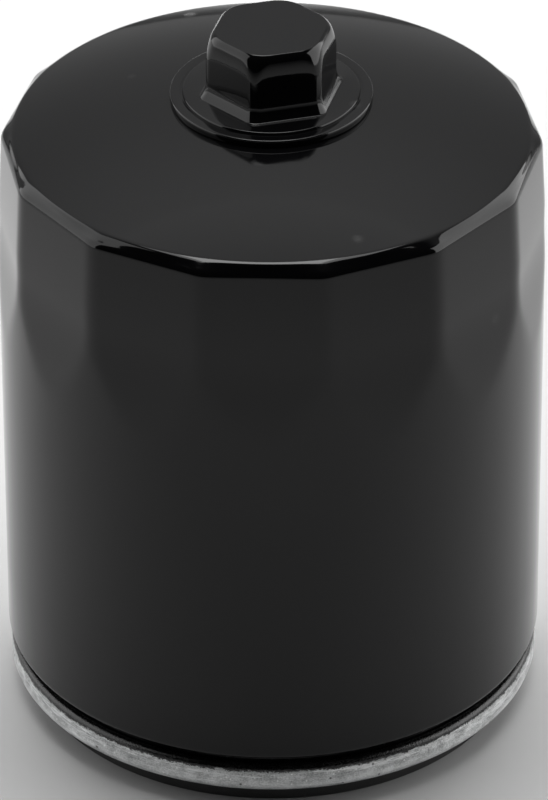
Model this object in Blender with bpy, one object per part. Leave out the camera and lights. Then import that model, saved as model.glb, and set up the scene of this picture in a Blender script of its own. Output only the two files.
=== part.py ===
"""Spin-on oil filter with a hex cap, as the separate pieces that it is assembled from.

The filter stands on its mounting gasket: the origin is the centre of the gasket's sealing face,
and +Z runs up the filter's axis to the hex. The front is -Y.
"""

import math

import bmesh
import bpy
from mathutils import Matrix, Vector

MM = 0.001

# Clearance between neighbouring solids, and the number of facets round a turned piece.
GAP = 0.3 * MM
FACETS = 36
FINE_FACETS = 42

# Canister: a drawn sheet-steel can with a domed end, pressed flats and a narrow neck at its mouth.
CAN_RADIUS = 38.1 * MM
CAN_SHEET = 0.45 * MM
CAN_FOOT_ROUND = 1.3 * MM
CAN_NECK_RADIUS = CAN_RADIUS - 1.7 * MM
CAN_NECK_RISE = 2.0 * MM
CAN_LIP_RADIUS = CAN_NECK_RADIUS + 0.4 * MM
SHOULDER_Z = 86.4 * MM
DOME_EDGE_RADIUS = CAN_RADIUS - 2.8 * MM
DOME_EDGE_Z = SHOULDER_Z + 2.65 * MM
DOME_SPHERE_RADIUS = 110.0 * MM

# Flats for a cap wrench, pressed into the wall below the shoulder.
FLAT_COUNT = 14
FLAT_DEPTH = 1.0 * MM
FLAT_FULL_Z = SHOULDER_Z - 11.4 * MM
FLAT_FOOT_Z = FLAT_FULL_Z - 16.0 * MM
FLAT_TOP_FADE = 1.8
FLAT_TURN = math.radians(-92.0)

# Hex cap on the dome, for a 17 mm wrench.
HEX_ACROSS = 16.8 * MM
HEX_CORNER_ROUND = 1.1 * MM
HEX_RISE = 9.85 * MM
HEX_TOP_RADIUS = HEX_ACROSS / 2 - 1.1 * MM
HEX_CHAMFER_DROP = 3.2 * MM
HEX_SKIRT_RISE = 2.45 * MM
HEX_SKIRT_ACROSS = HEX_ACROSS + 1.8 * MM
HEX_WALL = 1.6 * MM
HEX_TURN = math.radians(-105.2)
FLANGE_THICKNESS = 0.88 * MM
FLANGE_STEP = 0.25 * MM
FLANGE_STEP_RADIUS = HEX_SKIRT_ACROSS / math.sqrt(3) + 1.46 * MM
FLANGE_RADIUS = FLANGE_STEP_RADIUS + 1.8 * MM

# Mounting gasket and the galvanised lid that holds it and is rolled over the canister's lip.
SEAM_RADIUS = CAN_RADIUS - 0.05 * MM
SEAM_FOOT_Z = 3.36 * MM
SEAM_HEIGHT = 4.34 * MM
SEAM_ROUND = 1.3 * MM
SEAM_TOP_ROUND = 0.8 * MM
SEAM_WIDTH = 3.25 * MM
LID_SHEET = 0.45 * MM
LID_LAND = 2.1 * MM
GASKET_OUTER = SEAM_RADIUS - SEAM_WIDTH
GASKET_WIDTH = 3.8 * MM
GASKET_HEIGHT = 4.9 * MM
GASKET_EDGE = 0.3 * MM

# Base plate: thick disc with a drawn neck for the thread and a ring of oil inlet holes.
BASE_THICKNESS = 3.0 * MM
BASE_EDGE = 0.3 * MM
THREAD_RADIUS = 8.75 * MM
NECK_RADIUS = THREAD_RADIUS + 2.45 * MM
NECK_HEIGHT = 8.0 * MM
NECK_MOUTH_RADIUS = THREAD_RADIUS + 1.85 * MM
INLET_COUNT = 8
INLET_RADIUS = 3.5 * MM
INLET_CIRCLE = NECK_RADIUS + INLET_RADIUS + 4.8 * MM

# Anti-drainback valve: a rubber umbrella over the inlet holes.
VALVE_LIFT = 1.0 * MM
LIFT_CLEARANCE = 0.5 * MM
VALVE_COLLAR_WALL = 2.7 * MM
VALVE_COLLAR_HEIGHT = 4.9 * MM
VALVE_FLAP = 1.2 * MM
VALVE_ARCH = 0.9 * MM
VALVE_OVERLAP = 3.8 * MM
VALVE_LIP = 1.6 * MM

# Filter element: the oil's way past it, and the room above it for the hold-down spring.
FLOW_GAP = 4.65 * MM
ELEMENT_RADIUS = CAN_RADIUS - CAN_SHEET - FLOW_GAP
ELEMENT_TOP_Z = SHOULDER_Z - 2.85 * MM
CAP_SHEET = 0.45 * MM
CAP_RIM = 4.4 * MM
CAP_COLLAR = 3.2 * MM
ADHESIVE_THICKNESS = 1.5 * MM
TUBE_WALL = 0.5 * MM
TUBE_INNER = NECK_RADIUS + CAP_SHEET + GAP + 0.85 * MM
TUBE_OUTER = TUBE_INNER + TUBE_WALL
TUBE_ROWS = 6
TUBE_HOLES = 6
TUBE_HOLE_RADIUS = 2.2 * MM
PLEAT_COUNT = 40
PAPER = 0.6 * MM
PLEAT_OUTER = ELEMENT_RADIUS - 2.0 * MM
PLEAT_INNER = TUBE_OUTER + 1.7 * MM
PLEAT_TIP = 0.55 * MM
PLEAT_INNER_TIP = 0.95 * PLEAT_TIP
CLIP_SHEET = 0.3 * MM
CLIP_REACH = 4.5 * MM

# Bypass valve, hung inside the top of the centre tube. Each piece fits inside the one before.
BYPASS_TRAVEL = 3.0 * MM
CAGE_SHEET = 0.5 * MM
CAGE_RADIUS = TUBE_INNER - GAP - CAGE_SHEET - 1.4 * MM
VALVE_PLATE_RADIUS = CAGE_RADIUS - 1.3 * MM
VALVE_PLATE_THICKNESS = 0.9 * MM
SEAL_RADIUS = VALVE_PLATE_RADIUS - 0.7 * MM
SEAL_THICKNESS = 1.4 * MM
BYPASS_PORT_RADIUS = SEAL_RADIUS - 2.6 * MM
CAGE_OUTLETS = 4
CAGE_OUTLET_RADIUS = 1.9 * MM
CAGE_OUTLET_CIRCLE = CAGE_RADIUS - 4.3 * MM
STEM_RADIUS = 1.8 * MM
STEM_HEAD_RADIUS = 3.2 * MM
STEM_HEAD_HEIGHT = 0.7 * MM
STEM_TAIL = 2.0 * MM
BYPASS_WIRE = 0.9 * MM
BYPASS_COIL_RADIUS = VALVE_PLATE_RADIUS - 1.7 * MM
BYPASS_TURNS = 4.5
BYPASS_SPRING_SHUT = 7.3 * MM
END_TURNS_FLATTER = 0.35

# Hold-down spring between the element and the dome.
HOLD_WIRE = 2.0 * MM
HOLD_FOOT_RADIUS = 15.0 * MM
HOLD_TOP_RADIUS = 9.5 * MM
HOLD_TURNS = 2.75

# Heights that follow from the sizes above, going up from the gasket's face.
SEAM_TOP_Z = SEAM_FOOT_Z + SEAM_HEIGHT
CAN_LIP_Z = SEAM_TOP_Z - LID_SHEET - GAP - 0.05 * MM
CAN_FOOT_Z = CAN_LIP_Z + CAN_NECK_RISE
GROOVE_TOP_Z = GASKET_HEIGHT + GAP
BASE_Z = GROOVE_TOP_Z + LID_SHEET + GAP
BASE_TOP_Z = BASE_Z + BASE_THICKNESS
VALVE_Z = BASE_TOP_Z + GAP
VALVE_TOP_Z = VALVE_Z + VALVE_COLLAR_HEIGHT
ELEMENT_Z = VALVE_TOP_Z + VALVE_LIFT + LIFT_CLEARANCE
INSIDE_Z = ELEMENT_Z + CAP_SHEET + GAP
INSIDE_TOP_Z = ELEMENT_TOP_Z - CAP_SHEET - GAP
MEDIA_Z = INSIDE_Z + ADHESIVE_THICKNESS + GAP
MEDIA_TOP_Z = INSIDE_TOP_Z - ADHESIVE_THICKNESS - GAP
VALVE_PLATE_TOP_Z = INSIDE_TOP_Z - SEAL_THICKNESS - GAP
VALVE_PLATE_Z = VALVE_PLATE_TOP_Z - VALVE_PLATE_THICKNESS
CAGE_FLOOR_Z = VALVE_PLATE_Z - BYPASS_TRAVEL - BYPASS_SPRING_SHUT

# Radii that follow.
GASKET_INNER = GASKET_OUTER - GASKET_WIDTH
GROOVE_OUTER = GASKET_OUTER + GAP
GROOVE_INNER = GASKET_INNER - GAP
NECK_INSIDE = CAN_NECK_RADIUS - CAN_SHEET
STEM_BORE = STEM_RADIUS + GAP


def clear_scene():
    for item in list(bpy.data.objects):
        bpy.data.objects.remove(item, do_unlink=True)


def finish(name, colour, roughness, metallic):
    surface = bpy.data.materials.new(name)
    surface.use_nodes = True
    shader = surface.node_tree.nodes["Principled BSDF"]
    shader.inputs["Base Color"].default_value = (*colour, 1.0)
    shader.inputs["Roughness"].default_value = roughness
    shader.inputs["Metallic"].default_value = metallic
    surface.diffuse_color = (*colour, 1.0)
    return surface


def add_piece(name, bm, surface, crease_degrees=32.0):
    """Makes an object of the finished shape, with its faces outwards and its round faces smooth."""
    bmesh.ops.remove_doubles(bm, verts=bm.verts, dist=0.001 * MM)
    bmesh.ops.recalc_face_normals(bm, faces=bm.faces)
    mesh = bpy.data.meshes.new(name)
    bm.to_mesh(mesh)
    bm.free()
    mesh.materials.append(surface)
    mesh.shade_smooth()
    mesh.set_sharp_from_angle(angle=math.radians(crease_degrees))
    piece = bpy.data.objects.new(name, mesh)
    bpy.context.scene.collection.objects.link(piece)
    return piece


def direction(start, end):
    length = math.dist(start, end)
    return (end[0] - start[0]) / length, (end[1] - start[1]) / length


def rounded(path, radii, steps=2):
    """The path with an arc of the given radius at each inner corner; a radius of 0 leaves it sharp."""
    points = [path[0]]
    for before, corner, after, radius in zip(path, path[1:], path[2:], radii):
        if radius == 0:
            points.append(corner)
            continue
        back = direction(corner, before)
        ahead = direction(corner, after)
        half = math.acos(max(-1.0, min(1.0, back[0] * ahead[0] + back[1] * ahead[1]))) / 2
        reach = radius / math.tan(half)
        middle = (back[0] + ahead[0], back[1] + ahead[1])
        scale = radius / math.sin(half) / math.hypot(*middle)
        centre = (corner[0] + middle[0] * scale, corner[1] + middle[1] * scale)
        first = (corner[0] + back[0] * reach, corner[1] + back[1] * reach)
        last = (corner[0] + ahead[0] * reach, corner[1] + ahead[1] * reach)
        start = math.atan2(first[1] - centre[1], first[0] - centre[0])
        sweep = math.atan2(last[1] - centre[1], last[0] - centre[0]) - start
        sweep = (sweep + math.pi) % (2 * math.pi) - math.pi
        for step in range(steps + 1):
            angle = start + sweep * step / steps
            points.append((centre[0] + radius * math.cos(angle), centre[1] + radius * math.sin(angle)))
    points.append(path[-1])
    return points


def beside(path, offset):
    """The path moved to its left by the offset, with mitred corners."""
    moved = []
    for index, point in enumerate(path):
        sides = []
        if index > 0:
            sides.append(direction(path[index - 1], point))
        if index < len(path) - 1:
            sides.append(direction(point, path[index + 1]))
        normals = [Vector((-along[1], along[0])) for along in sides]
        middle = sum(normals, Vector((0, 0))).normalized()
        reach = offset / middle.dot(normals[0])
        moved.append((point[0] + middle.x * reach, point[1] + middle.y * reach))
    return moved


def sheet(path, thickness):
    """Closed outline of turned sheet: one face runs along the path, with the metal on its left."""
    back = [(max(0.0, radius), height) for radius, height in beside(path, thickness)]
    return list(path) + back[::-1]


def turned_mesh(outline, facets, turn=0.0):
    """An outline of (radius, height) points spun round the Z axis."""
    bm = bmesh.new()
    ring = [bm.verts.new((r * math.cos(turn), r * math.sin(turn), z)) for r, z in outline]
    edges = [bm.edges.new(pair) for pair in zip(ring, ring[1:])]
    if outline[0][0] > 0 or outline[-1][0] > 0:
        edges.append(bm.edges.new((ring[-1], ring[0])))
    bmesh.ops.spin(
        bm,
        geom=ring + edges,
        cent=(0, 0, 0),
        axis=(0, 0, 1),
        angle=2 * math.pi,
        steps=facets,
        use_merge=True,
        use_duplicate=False,
    )
    bmesh.ops.remove_doubles(bm, verts=bm.verts, dist=0.001 * MM)
    return bm


def turned(name, outline, surface, facets=FACETS):
    return add_piece(name, turned_mesh(outline, facets), surface)


def drum(inner, outer, bottom, top):
    return [(outer, top), (outer, bottom), (inner, bottom), (inner, top)]


def peg(bm, matrix, radius, depth, facets=12):
    bmesh.ops.create_cone(
        bm, cap_ends=True, segments=facets, radius1=radius, radius2=radius, depth=depth, matrix=matrix
    )


def cut_away(piece, bm):
    """Takes the closed shapes of the mesh out of the piece."""
    name = piece.name + "_cutter"
    mesh = bpy.data.meshes.new(name)
    bm.to_mesh(mesh)
    bm.free()
    cutter = bpy.data.objects.new(name, mesh)
    bpy.context.scene.collection.objects.link(cutter)
    cutter.hide_render = True
    cutter.display_type = "WIRE"
    cut = piece.modifiers.new("Cut", "BOOLEAN")
    cut.operation = "DIFFERENCE"
    cut.solver = "EXACT"
    cut.object = cutter


def circle_of(count, radius, height, turn=0.0):
    """Matrices at even places on a circle, each with its X axis pointing outwards."""
    for index in range(count):
        spin = Matrix.Rotation(turn + 2 * math.pi * index / count, 4, "Z")
        yield spin @ Matrix.Translation((radius, 0, height))


def smooth_step(value, low, high):
    share = min(1.0, max(0.0, (value - low) / (high - low)))
    return share * share * (3 - 2 * share)


def dome_height(radius):
    """Height of the dome's outer face; the dome is part of a sphere."""
    sphere = DOME_SPHERE_RADIUS
    edge_drop = sphere - math.sqrt(sphere**2 - DOME_EDGE_RADIUS**2)
    return DOME_EDGE_Z + edge_drop - (sphere - math.sqrt(sphere**2 - radius**2))


# Canister


def press_flats(bm):
    """Moves the wall inwards onto the flats, fading out at their foot and at the dome's edge."""
    half = math.pi / FLAT_COUNT
    flat_distance = CAN_RADIUS - FLAT_DEPTH
    inside_wall = CAN_RADIUS - CAN_SHEET
    for vert in bm.verts:
        radius = math.hypot(vert.co.x, vert.co.y)
        if radius <= DOME_EDGE_RADIUS or vert.co.z < FLAT_FOOT_Z:
            continue
        turn = (math.atan2(vert.co.y, vert.co.x) - FLAT_TURN + half) % (2 * half) - half
        depth = max(0.0, CAN_RADIUS - flat_distance / math.cos(turn))
        depth *= smooth_step(vert.co.z, FLAT_FOOT_Z, FLAT_FULL_Z)
        share = min(1.0, (radius - DOME_EDGE_RADIUS) / (inside_wall - DOME_EDGE_RADIUS))
        scale = (radius - depth * share**FLAT_TOP_FADE) / radius
        vert.co.x *= scale
        vert.co.y *= scale


def make_canister(surface):
    lip = [
        (CAN_LIP_RADIUS, CAN_LIP_Z),
        (CAN_NECK_RADIUS, CAN_LIP_Z),
        (CAN_NECK_RADIUS, CAN_FOOT_Z),
        (CAN_RADIUS, CAN_FOOT_Z),
        (CAN_RADIUS, FLAT_FOOT_Z),
    ]
    wall = rounded(lip, [0.0, 0.0, CAN_FOOT_ROUND], 3)
    levels = 3
    for step in range(1, levels + 1):
        wall.append((CAN_RADIUS, FLAT_FOOT_Z + (FLAT_FULL_Z - FLAT_FOOT_Z) * step / levels))
    slope = math.asin(DOME_EDGE_RADIUS / DOME_SPHERE_RADIUS)
    roll = math.pi / 2 - slope
    roll_reach = (CAN_RADIUS - DOME_EDGE_RADIUS) / (1 - math.cos(roll))
    roll_rise = (DOME_EDGE_Z - SHOULDER_Z) / math.sin(roll)
    steps = 4
    for step in range(steps + 1):
        angle = roll * step / steps
        wall.append(
            (CAN_RADIUS - roll_reach * (1 - math.cos(angle)), SHOULDER_Z + roll_rise * math.sin(angle))
        )
    steps = 4
    for step in range(1, steps + 1):
        radius = DOME_EDGE_RADIUS * (1 - step / steps)
        wall.append((radius, dome_height(radius)))
    bm = turned_mesh(sheet(wall, CAN_SHEET), FINE_FACETS, FLAT_TURN + math.pi / FLAT_COUNT)
    press_flats(bm)
    return add_piece("canister", bm, surface, 40.0)


# Hex cap


def hex_radius(across, corner_round, turn):
    """Distance to a hexagon with rounded corners, from its middle, at an angle from a corner."""
    sixth = math.pi / 3
    turn = abs((turn + sixth / 2) % sixth - sixth / 2)
    flat = across / 2 / math.cos(sixth / 2 - turn)
    centre = (across / 2 - corner_round) / math.cos(sixth / 2)
    reach = centre * math.cos(turn)
    inside = corner_round**2 - (centre * math.sin(turn)) ** 2
    if inside < 0:
        return flat
    return min(flat, reach + math.sqrt(inside))


def hex_turns():
    """Angles from the first corner, closer together round each corner."""
    for corner in range(6):
        for offset in (-30.0, -15.0, -6.0, 0.0, 6.0, 15.0):
            yield math.radians(60.0 * corner + offset)


def cap_ring(bm, height, reach):
    """A ring of vertices at a height; reach gives the radius at an angle from the first corner."""
    ring = []
    for turn in hex_turns():
        radius = reach(turn)
        angle = HEX_TURN + turn
        level = height(radius) if callable(height) else height
        ring.append(bm.verts.new((radius * math.cos(angle), radius * math.sin(angle), level)))
    return ring


def join_rings(bm, rings):
    for lower, upper in zip(rings, rings[1:]):
        for index in range(len(lower)):
            after = (index + 1) % len(lower)
            bm.faces.new((lower[index], lower[after], upper[after], upper[index]))


def make_hex_cap(surface):
    bm = bmesh.new()
    corner = HEX_ACROSS / math.sqrt(3)
    inner_across = HEX_ACROSS - 2 * HEX_WALL
    flange_top = dome_height(FLANGE_RADIUS) + GAP + FLANGE_THICKNESS
    top = flange_top + HEX_RISE
    under = [FLANGE_RADIUS, (FLANGE_RADIUS + inner_across / 2) / 2]

    def hexagon(across):
        return lambda turn: hex_radius(across, HEX_CORNER_ROUND, turn)

    def chamfered(level):
        share = (top - level) / HEX_CHAMFER_DROP
        cone = HEX_TOP_RADIUS + (corner - HEX_TOP_RADIUS) * math.sin(share * math.pi / 2)
        return lambda turn: min(cone, hex_radius(HEX_ACROSS, HEX_CORNER_ROUND, turn))

    def round_at(radius):
        return lambda turn: radius

    def seat(radius):
        return dome_height(radius) + GAP

    step_top = flange_top + FLANGE_STEP
    rings = [cap_ring(bm, top, round_at(HEX_TOP_RADIUS))]
    for share in (0.08, 0.25, 0.5, 0.75, 1.0):
        level = top - HEX_CHAMFER_DROP * share
        rings.append(cap_ring(bm, level, chamfered(level)))
    rings.append(cap_ring(bm, flange_top + HEX_SKIRT_RISE, hexagon(HEX_ACROSS)))
    rings.append(cap_ring(bm, step_top, hexagon(HEX_SKIRT_ACROSS)))
    rings.append(cap_ring(bm, step_top, round_at(FLANGE_STEP_RADIUS)))
    rings.append(cap_ring(bm, flange_top, round_at(FLANGE_STEP_RADIUS + FLANGE_STEP)))
    rings.append(cap_ring(bm, flange_top, round_at(FLANGE_RADIUS - FLANGE_STEP)))
    rings.append(cap_ring(bm, flange_top - FLANGE_STEP, round_at(FLANGE_RADIUS)))
    for radius in under:
        rings.append(cap_ring(bm, seat, round_at(radius)))
    rings.append(cap_ring(bm, seat, hexagon(inner_across)))
    rings.append(cap_ring(bm, top - HEX_CHAMFER_DROP, hexagon(inner_across)))
    rings.append(cap_ring(bm, top - HEX_WALL, round_at(HEX_TOP_RADIUS - HEX_WALL)))
    join_rings(bm, rings)
    bm.faces.new(rings[0])
    bm.faces.new(rings[-1])
    return add_piece("hex_cap", bm, surface)


# Mouth end: lid, gasket, sealant, base plate and anti-drainback valve


def make_seam_lid(surface):
    path = [
        (GROOVE_INNER - LID_LAND, SEAM_FOOT_Z),
        (GROOVE_INNER, SEAM_FOOT_Z),
        (GROOVE_INNER, GROOVE_TOP_Z),
        (GROOVE_OUTER, GROOVE_TOP_Z),
        (GROOVE_OUTER, SEAM_FOOT_Z),
        (SEAM_RADIUS, SEAM_FOOT_Z),
        (SEAM_RADIUS, SEAM_TOP_Z),
        (CAN_NECK_RADIUS + GAP, SEAM_TOP_Z),
    ]
    radii = [0.0, 0.0, 0.0, 0.0, SEAM_ROUND, SEAM_TOP_ROUND]
    turned("seam_lid", sheet(rounded(path, radii, 3), LID_SHEET), surface, FINE_FACETS)


def make_gasket(surface):
    outline = [
        (GASKET_OUTER, GASKET_HEIGHT),
        (GASKET_OUTER, GASKET_EDGE),
        (GASKET_OUTER - GASKET_EDGE, 0.0),
        (GASKET_INNER + GASKET_EDGE, 0.0),
        (GASKET_INNER, GASKET_EDGE),
        (GASKET_INNER, GASKET_HEIGHT),
    ]
    turned("mounting_gasket", outline, surface, FINE_FACETS)


def make_seam_sealant(surface):
    outline = drum(
        NECK_INSIDE,
        min(CAN_LIP_RADIUS, SEAM_RADIUS - LID_SHEET - GAP),
        SEAM_FOOT_Z + LID_SHEET + GAP,
        CAN_LIP_Z - CAN_SHEET - GAP,
    )
    turned("seam_sealant", outline, surface)


def make_base_plate(surface):
    rim = NECK_INSIDE - GAP
    neck_top = BASE_TOP_Z + NECK_HEIGHT
    mouth = NECK_MOUTH_RADIUS - THREAD_RADIUS
    outline = [
        (rim, BASE_TOP_Z),
        (rim, BASE_Z + BASE_EDGE),
        (rim - BASE_EDGE, BASE_Z),
        (NECK_MOUTH_RADIUS, BASE_Z),
        (THREAD_RADIUS + mouth / 3, BASE_Z + mouth / 3),
        (THREAD_RADIUS, BASE_Z + mouth),
        (THREAD_RADIUS, neck_top),
        (NECK_RADIUS, neck_top),
        (NECK_RADIUS, BASE_TOP_Z),
    ]
    plate = turned("base_plate", outline, surface)
    holes = bmesh.new()
    for place in circle_of(INLET_COUNT, INLET_CIRCLE, (BASE_Z + BASE_TOP_Z) / 2, math.pi / INLET_COUNT):
        peg(holes, place, INLET_RADIUS, 2 * BASE_THICKNESS, 16)
    cut_away(plate, holes)


def make_drainback_valve(surface):
    bore = NECK_RADIUS + GAP
    collar = bore + VALVE_COLLAR_WALL
    inlets_inner = INLET_CIRCLE - INLET_RADIUS
    inlets_outer = INLET_CIRCLE + INLET_RADIUS
    lip = inlets_outer + VALVE_OVERLAP
    under = VALVE_Z + VALVE_ARCH
    outline = [
        (bore, VALVE_TOP_Z),
        (bore, VALVE_Z),
        (inlets_inner - VALVE_ARCH, VALVE_Z),
        (inlets_inner, under),
        (lip - VALVE_LIP - VALVE_ARCH, under),
        (lip - VALVE_LIP, VALVE_Z),
        (lip, VALVE_Z),
        (lip, VALVE_Z + VALVE_FLAP / 2),
        (lip - VALVE_LIP - VALVE_ARCH, under + VALVE_FLAP),
        (collar + VALVE_FLAP, under + VALVE_FLAP),
        (collar, under + 2 * VALVE_FLAP),
        (collar, VALVE_TOP_Z),
    ]
    turned("anti_drainback_valve", outline, surface)


# Filter element


def make_end_cap(name, surface, bottom, rim_rise, collar_radius, collar_rise):
    """Sheet-steel cap for one end of the element. A negative rise points down."""
    path = [
        (ELEMENT_RADIUS, bottom + rim_rise),
        (ELEMENT_RADIUS, bottom),
        (collar_radius, bottom),
    ]
    radii = [2 * CAP_SHEET]
    if collar_rise:
        path.append((collar_radius, bottom + collar_rise))
        radii.append(2 * CAP_SHEET)
    outline = rounded(path, radii)
    if rim_rise > 0:
        outline.reverse()
    return turned(name, sheet(outline, CAP_SHEET), surface)


def make_adhesive(name, surface, bottom):
    outer = ELEMENT_RADIUS - CAP_SHEET - GAP
    turned(name, drum(TUBE_OUTER + GAP, outer, bottom, bottom + ADHESIVE_THICKNESS), surface)


def make_centre_tube(surface):
    tube = turned("centre_tube", drum(TUBE_INNER, TUBE_OUTER, INSIDE_Z, INSIDE_TOP_Z), surface, 36)
    holes = bmesh.new()
    pitch = (MEDIA_TOP_Z - MEDIA_Z) / TUBE_ROWS
    sideways = Matrix.Rotation(math.pi / 2, 4, "Y")
    for row in range(TUBE_ROWS):
        height = MEDIA_Z + pitch * (row + 0.5)
        turn = math.pi / TUBE_HOLES * (row % 2)
        for place in circle_of(TUBE_HOLES, TUBE_OUTER, height, turn):
            peg(holes, place @ sideways, TUBE_HOLE_RADIUS, 6 * TUBE_WALL, 8)
    cut_away(tube, holes)


def pleat_path():
    """Middle line of the folded paper: one strip whose two ends meet at the seam clip."""
    pitch = 2 * math.pi / PLEAT_COUNT
    outer = PLEAT_TIP / PLEAT_OUTER
    inner = pitch / 2 - PLEAT_INNER_TIP / PLEAT_INNER
    for pleat in range(PLEAT_COUNT + 1):
        turn = pitch * pleat
        if pleat > 0:
            yield PLEAT_INNER, turn - inner
            yield PLEAT_OUTER, turn - outer
        if pleat < PLEAT_COUNT:
            yield PLEAT_OUTER, turn + outer
            yield PLEAT_INNER, turn + inner


def upright(name, outline, surface):
    """An outline of (x, y) points drawn up over the height of the paper."""
    bm = bmesh.new()
    face = bm.faces.new([bm.verts.new((x, y, MEDIA_Z)) for x, y in outline])
    raised = bmesh.ops.extrude_face_region(bm, geom=[face])["geom"]
    verts = [item for item in raised if isinstance(item, bmesh.types.BMVert)]
    bmesh.ops.translate(bm, verts=verts, vec=(0, 0, MEDIA_TOP_Z - MEDIA_Z))
    bmesh.ops.triangulate(bm, faces=[face for face in bm.faces if len(face.verts) > 4])
    return add_piece(name, bm, surface)


def make_media(surface):
    path = [(radius * math.cos(turn), radius * math.sin(turn)) for radius, turn in pleat_path()]
    upright("pleated_media", beside(path, PAPER / 2) + beside(path, -PAPER / 2)[::-1], surface)


def make_seam_clip(surface):
    """U-shaped metal strip crimped over the two ends of the paper, at the +X side."""
    half = PLEAT_TIP + PAPER / 2 + GAP
    web = PLEAT_OUTER + GAP
    path = [(web - CLIP_REACH, -half), (web, -half), (web, half), (web - CLIP_REACH, half)]
    upright("media_seam_clip", path + beside(path, -CLIP_SHEET)[::-1], surface)


# Bypass valve


def make_bypass_cage(surface):
    flange = TUBE_INNER - GAP
    path = [
        (flange, INSIDE_TOP_Z),
        (CAGE_RADIUS, INSIDE_TOP_Z),
        (CAGE_RADIUS, CAGE_FLOOR_Z),
        (STEM_BORE, CAGE_FLOOR_Z),
    ]
    outline = sheet(rounded(path, [0.0, 2 * CAGE_SHEET]), CAGE_SHEET)
    cage = turned("bypass_cage", outline, surface, 36)
    holes = bmesh.new()
    for place in circle_of(CAGE_OUTLETS, CAGE_OUTLET_CIRCLE, CAGE_FLOOR_Z):
        peg(holes, place, CAGE_OUTLET_RADIUS, 6 * CAGE_SHEET, 10)
    cut_away(cage, holes)


def make_bypass_disc(name, surface, radius, bottom, top):
    turned(name, drum(STEM_BORE, radius, bottom, top), surface, 36)


def make_bypass_stem(surface):
    head_z = INSIDE_TOP_Z + GAP
    tail_z = CAGE_FLOOR_Z - CAGE_SHEET - STEM_TAIL
    outline = [
        (0.0, head_z + STEM_HEAD_HEIGHT),
        (STEM_HEAD_RADIUS - GAP, head_z + STEM_HEAD_HEIGHT),
        (STEM_HEAD_RADIUS, head_z + STEM_HEAD_HEIGHT / 2),
        (STEM_HEAD_RADIUS, head_z),
        (STEM_RADIUS, head_z),
        (STEM_RADIUS, tail_z),
        (0.0, tail_z),
    ]
    turned("bypass_stem", outline, surface, 20)


# Springs


def make_spring(name, surface, wire, turns, foot, top, steps_a_turn=14):
    """Coil of round wire from foot to top, each given as (coil radius, height of the wire)."""
    count = int(turns * steps_a_turn)
    curve = bpy.data.curves.new(name, "CURVE")
    curve.dimensions = "3D"
    curve.bevel_depth = wire / 2
    curve.bevel_resolution = 2
    curve.use_fill_caps = True
    line = curve.splines.new("POLY")
    line.points.add(count)
    for index, point in enumerate(line.points):
        share = index / count
        angle = 2 * math.pi * turns * share
        radius = foot[0] + (top[0] - foot[0]) * share
        height = foot[1] + (top[1] - foot[1]) * smooth_pitch(share)
        point.co = (radius * math.cos(angle), radius * math.sin(angle), height, 1.0)
    curve.materials.append(surface)
    spring = bpy.data.objects.new(name, curve)
    bpy.context.scene.collection.objects.link(spring)


def smooth_pitch(share):
    """Share of the height at a share of the turns: the end turns lie flatter than the middle ones."""
    return share - END_TURNS_FLATTER * math.sin(2 * math.pi * share) / (2 * math.pi)


def make_bypass_spring(surface):
    low = CAGE_FLOOR_Z + GAP + BYPASS_WIRE / 2
    high = VALVE_PLATE_Z - GAP - BYPASS_WIRE / 2
    coil = BYPASS_COIL_RADIUS
    make_spring("bypass_spring", surface, BYPASS_WIRE, BYPASS_TURNS, (coil, low), (coil, high))


def make_hold_down_spring(surface):
    low = ELEMENT_TOP_Z + GAP + HOLD_WIRE / 2
    reach = HOLD_TOP_RADIUS + HOLD_WIRE / 2
    high = dome_height(reach) - CAN_SHEET - 2 * GAP - HOLD_WIRE / 2
    make_spring(
        "hold_down_spring", surface, HOLD_WIRE, HOLD_TURNS, (HOLD_FOOT_RADIUS, low), (HOLD_TOP_RADIUS, high)
    )


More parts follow.
